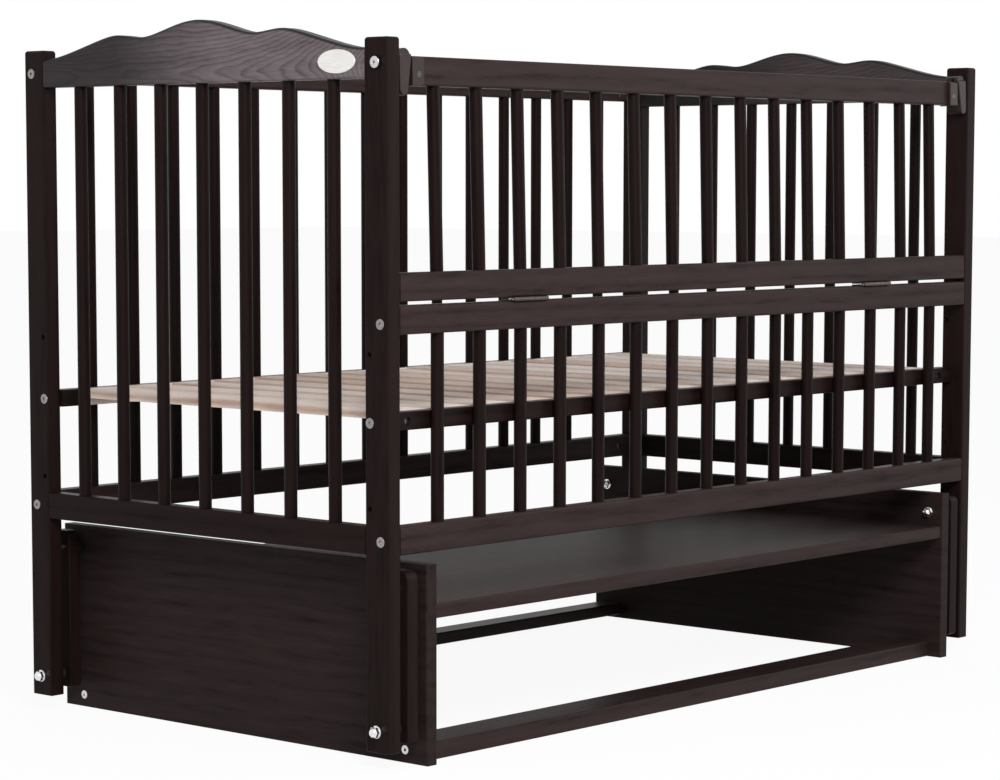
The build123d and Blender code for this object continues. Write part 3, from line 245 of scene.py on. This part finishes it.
for cut, name in enumerate(("mattress_rail_front", "mattress_rail_rear"), 41):
    finish = stained_wood(name + "_stain", "x", cut)
    tree = finish.node_tree
    shader = tree.nodes["Principled BSDF"]
    dark = shader.inputs["Base Color"].links[0].from_socket
    bare, tone = bare_pine(tree, "x", cut)
    place = node(tree, "ShaderNodeTexCoord").outputs["Object"]
    split = node(tree, "ShaderNodeSeparateXYZ")
    tree.links.new(place, split.inputs["Vector"])
    inner = arithmetic(tree, "LESS_THAN", arithmetic(tree, "ABSOLUTE", split.outputs["Y"]),
                       bare_half_depth)
    smear = node(tree, "ShaderNodeTexNoise", scale=55.0, detail=4.0)
    tree.links.new(place, smear.inputs["Vector"])
    reach = arithmetic(tree, "ADD", arithmetic(tree, "ABSOLUTE", split.outputs["X"]),
                       arithmetic(tree, "MULTIPLY", smear.outputs["Fac"], smear_length))
    short_of_end = arithmetic(tree, "LESS_THAN", reach, bare_half_length)
    share = arithmetic(tree, "MULTIPLY", inner, short_of_end)
    tree.links.new(blended(tree, share, dark, bare), shader.inputs["Base Color"])
    finished(name, finish)


# Mattress slats: bare planed pine, each from another plank and so of its own tone, let into
# the base rails.
first_to_last_slat = 1.076
slat_count = 15
slat_pitch = first_to_last_slat / (slat_count - 1)
plank_tones = [(0.0, (0.70, 0.58, 0.51)), (0.5, (0.93, 0.87, 0.82)), (1.0, (1.0, 1.0, 1.0))]
finish, tree, shader = new_finish("mattress_slats_bare_pine")
colour, tone = bare_pine(tree, "y", 51, band_size=20.0)
place = node(tree, "ShaderNodeTexCoord").outputs["Object"]
split = node(tree, "ShaderNodeSeparateXYZ")
tree.links.new(place, split.inputs["Vector"])
count = arithmetic(tree, "ROUND", arithmetic(tree, "DIVIDE", split.outputs["X"], slat_pitch))
plank = node(tree, "ShaderNodeTexWhiteNoise", noise_dimensions="1D")
tree.links.new(count, plank.inputs["W"])
warmth = ramp(tree, plank.outputs["Value"], plank_tones)
colour = blended(tree, 1.0, colour, warmth, "MULTIPLY")
tree.links.new(colour, shader.inputs["Base Color"])
shader.inputs["Roughness"].default_value = 0.62
relief(tree, shader, tone, 0.35, 0.0007)
finished("mattress_slats", finish)


# Stand: two end panels, a shelf, two foot rails and the four links that carry the cradle, all
# under the same stain. The panels are smoother, and the shelf and the foot rails take the rails'
# lighter copy of it, painted light.
panel_light = (0.0240, 0.0150, 0.0148, 1)
for cut, name in enumerate(("stand_panel_left", "stand_panel_right"), 61):
    finished(name, stained_wood(name + "_stain", "y", cut, light=panel_light, gloss=0.44, figure=0.15))
# The shelf and foot rails take the lighter copy of the stain: painted light.
for cut, name in enumerate(("stand_shelf", "stand_rail_front", "stand_rail_rear"), 65):
    finished(name, stained_wood(name + "_stain", "x", cut, light=lit_rail_light, deep=lit_rail_deep))
for cut, name in enumerate(("link_front_left", "link_front_right", "link_rear_left",
                            "link_rear_right"), 71):
    finished(name, stained_wood(name + "_stain", "z", cut))


# Dowels: plain beech pins inside the joints of the end frames and the stand.
beech_late = (0.42, 0.24, 0.13)
beech_pale = (0.60, 0.40, 0.25)
for cut, name in enumerate(("frame_dowels", "stand_dowels"), 81):
    finish, tree, shader = new_finish(name + "_beech")
    streaks, fibres = grain_of(tree, "x", cut)[1:]
    tone = arithmetic(tree, "ADD", arithmetic(tree, "MULTIPLY", streaks, 0.6),
                      arithmetic(tree, "MULTIPLY", fibres, 0.4))
    colour = ramp(tree, tone, [(0.3, beech_late), (0.7, beech_pale)])
    tree.links.new(colour, shader.inputs["Base Color"])
    shader.inputs["Roughness"].default_value = 0.6
    relief(tree, shader, tone, 0.3, 0.0004)
    finished(name, finish)


# Metal fittings: furniture bolts and barrel nuts of zinc-plated steel, chromed pivot bolts
# and cap nuts, cast zinc cams, and hinges with browned leaves.
scuff_size = 420.0


def plated(name, tint, roughness, wear):
    finish, tree, shader = new_finish(name)
    place = node(tree, "ShaderNodeTexCoord").outputs["Object"]
    scuffs = node(tree, "ShaderNodeTexNoise", scale=scuff_size, detail=4.0, roughness=0.6)
    tree.links.new(place, scuffs.inputs["Vector"])
    worn = tuple(part * (1 - 0.5 * wear) for part in tint)
    tree.links.new(ramp(tree, scuffs.outputs["Fac"], [(0.35, worn), (0.62, tint)]),
                   shader.inputs["Base Color"])
    tree.links.new(arithmetic(tree, "ADD", arithmetic(tree, "MULTIPLY", scuffs.outputs["Fac"],
                                                      0.22 * wear), roughness),
                   shader.inputs["Roughness"])
    relief(tree, shader, scuffs.outputs["Fac"], 0.12 * wear, 0.0002)
    shader.inputs["Metallic"].default_value = 1.0
    return finish


zinc_plate = plated("zinc_plated_steel", (0.36, 0.34, 0.335), 0.26, 0.8)
bright_plate = plated("bright_steel", (0.70, 0.69, 0.69), 0.16, 0.5)
browned = plated("browned_steel", (0.115, 0.095, 0.085), 0.36, 0.8)
chrome = plated("chrome_plate", (0.82, 0.82, 0.83), 0.08, 0.2)
cast_zinc = plated("cast_zinc", (0.50, 0.50, 0.51), 0.34, 0.8)
fittings = {
    "assembly_bolts": (zinc_plate, "steel"), "barrel_nuts": (zinc_plate, "steel"),
    "keeper_bolts": (bright_plate, "steel"), "stand_screws": (bright_plate, "steel"),
    "hinge_fixed_leaves": (browned, "steel"), "hinge_flap_leaves": (browned, "steel"),
    "hinge_pins": (bright_plate, "steel"), "hinge_fixed_screws": (zinc_plate, "steel"),
    "hinge_flap_screws": (zinc_plate, "steel"), "latch_bracket_screws": (browned, "steel"),
    "latch_pins": (bright_plate, "steel"), "latch_springs": (bright_plate, "steel"),
    "cradle_pivot_bolts": (chrome, "chrome"), "cradle_pivot_nuts": (chrome, "chrome"),
    "stand_pivot_bolts": (chrome, "chrome"), "stand_pivot_nuts": (chrome, "chrome"),
    "shelf_cam_bolts": (zinc_plate, "steel"), "shelf_cam_locks": (cast_zinc, "zinc"),
}
for name, (finish, slot_name) in fittings.items():
    finished(name, finish)


# Latches: brown nylon brackets and levers at the top of the drop side, with keeper plates of
# the same plastic on the posts. The moulding is matt, with a fine grain.
stipple_size = 1500.0
moulded_shine = 0.22


def moulded(name, tint, roughness):
    finish, tree, shader = new_finish(name)
    place = node(tree, "ShaderNodeTexCoord").outputs["Object"]
    stipple = node(tree, "ShaderNodeTexNoise", scale=stipple_size, detail=2.0)
    cloud = node(tree, "ShaderNodeTexNoise", scale=40.0, detail=3.0)
    for pattern in (stipple, cloud):
        tree.links.new(place, pattern.inputs["Vector"])
    pale = tuple(part * 1.35 for part in tint)
    tree.links.new(ramp(tree, cloud.outputs["Fac"], [(0.35, tint), (0.65, pale)]),
                   shader.inputs["Base Color"])
    tree.links.new(arithmetic(tree, "ADD", arithmetic(tree, "MULTIPLY", stipple.outputs["Fac"], 0.15),
                              roughness), shader.inputs["Roughness"])
    relief(tree, shader, stipple.outputs["Fac"], 0.25, 0.00012)
    shader.inputs["Specular IOR Level"].default_value = moulded_shine
    return finish


brown_nylon = moulded("brown_nylon", (0.0150, 0.0080, 0.0072), 0.30)
for name in ("latch_bracket_left", "latch_bracket_right", "latch_lever_left", "latch_lever_right",
             "keeper_plates"):
    finished(name, brown_nylon)


# Spacers: black nylon bushes with a collar, between the links and what they swing on.
black_nylon = moulded("black_nylon", (0.012, 0.012, 0.013), 0.42)
for name in ("cradle_spacers", "stand_spacers"):
    finished(name, black_nylon)


# Oval plate: a bare thin plate on the left headboard, of pale satin metal.
finish, tree, shader = new_finish("oval_plate_satin")
place = node(tree, "ShaderNodeTexCoord").outputs["Object"]
brushed = node(tree, "ShaderNodeMapping")
brushed.inputs["Scale"].default_value = (1, 0.05, 1)
strokes = node(tree, "ShaderNodeTexNoise", scale=1400.0, detail=3.0)
tree.links.new(place, brushed.inputs["Vector"])
tree.links.new(brushed.outputs["Vector"], strokes.inputs["Vector"])
tree.links.new(ramp(tree, strokes.outputs["Fac"], [(0.3, (0.66, 0.65, 0.63)), (0.7, (0.80, 0.79, 0.77))]),
               shader.inputs["Base Color"])
shader.inputs["Metallic"].default_value = 0.35
shader.inputs["Roughness"].default_value = 0.34
relief(tree, shader, strokes.outputs["Fac"], 0.2, 0.0001)
finished("oval_plate", finish)


# Floor: a plain pale sheet that keeps the crib's shadow and reads white to the camera.
floor_half = 30.0
floor_white = 0.93


def background_rays(tree):
    """1 on the rays that come straight from the camera, a shine or a clear piece, else 0."""
    seen = node(tree, "ShaderNodeLightPath")
    rays = arithmetic(tree, "MAXIMUM", seen.outputs["Is Camera Ray"], seen.outputs["Is Glossy Ray"])
    return arithmetic(tree, "MAXIMUM", rays, seen.outputs["Is Transmission Ray"])


floor_mesh = bpy.data.meshes.new("floor")
corners = [(-floor_half, -floor_half, 0), (floor_half, -floor_half, 0),
           (floor_half, floor_half, 0), (-floor_half, floor_half, 0)]
floor_mesh.from_pydata(corners, [], [(0, 1, 2, 3)])
floor = bpy.data.objects.new("floor", floor_mesh)
bpy.context.scene.collection.objects.link(floor)
finish, tree, shader = new_finish("pale_floor")
shader.inputs["Base Color"].default_value = (0.97, 0.97, 0.97, 1)
shader.inputs["Roughness"].default_value = 0.9
glow = node(tree, "ShaderNodeEmission")
glow.inputs["Color"].default_value = (1, 1, 1, 1)
glow.inputs["Strength"].default_value = 1.0
mixed = node(tree, "ShaderNodeMixShader")
tree.links.new(arithmetic(tree, "MULTIPLY", background_rays(tree), floor_white), mixed.inputs["Fac"])
tree.links.new(shader.outputs["BSDF"], mixed.inputs[1])
tree.links.new(glow.outputs["Emission"], mixed.inputs[2])
tree.links.new(mixed.outputs["Shader"], tree.nodes["Material Output"].inputs["Surface"])
floor_mesh.materials.append(finish)


# Light: a white room, and two soft lamps from the front left and the front right.
room_light = 0.38
background_light = 0.62
crib_middle = (0, 0, 0.45)
world = bpy.data.worlds.new("white_room")
bpy.context.scene.world = world
world.use_nodes = True
tree = world.node_tree
sky = tree.nodes["Background"]
sky.inputs["Color"].default_value = (1, 1, 1, 1)
seen_light = arithmetic(tree, "MULTIPLY", background_rays(tree), background_light)
tree.links.new(arithmetic(tree, "ADD", seen_light, room_light), sky.inputs["Strength"])


def soft_lamp(name, place, size, power):
    light = bpy.data.lights.new(name, "AREA")
    light.shape = "SQUARE"
    light.size = size
    light.energy = power
    lamp = bpy.data.objects.new(name, light)
    lamp.location = place
    lamp.rotation_euler = (Vector(crib_middle) - Vector(place)).to_track_quat("-Z", "Y").to_euler()
    bpy.context.scene.collection.objects.link(lamp)


soft_lamp("key", (-2.6, -3.0, 2.6), 1.6, 170)
soft_lamp("fill", (3.0, -2.6, 1.8), 2.2, 30)


# Camera: where the photograph was taken from, in front of the left end at rail height.
sensor = 36.0
focal_pixels, frame_pixels = 2999.2, 1000.0
shift_right, shift_up = -0.0158, 0.0879
azimuth, elevation, roll = math.radians(-48.78), math.radians(5.637), math.radians(0.106)
standpoint = (-3.1397, -2.7269, 0.6934)
camera_data = bpy.data.cameras.new("camera")
camera_data.sensor_width = sensor
camera_data.lens = sensor * focal_pixels / frame_pixels
camera_data.shift_x = shift_right
camera_data.shift_y = shift_up
camera = bpy.data.objects.new("camera", camera_data)
back = Vector((math.sin(azimuth) * math.cos(elevation), -math.cos(azimuth) * math.cos(elevation),
               math.sin(elevation)))
camera.rotation_mode = "QUATERNION"
camera.rotation_quaternion = Quaternion(back, roll) @ (-back).to_track_quat("-Z", "Y")
camera.location = standpoint
camera_data.clip_end = 200
bpy.context.scene.collection.objects.link(camera)
bpy.context.scene.camera = camera
bpy.context.scene.view_settings.view_transform = "Standard"
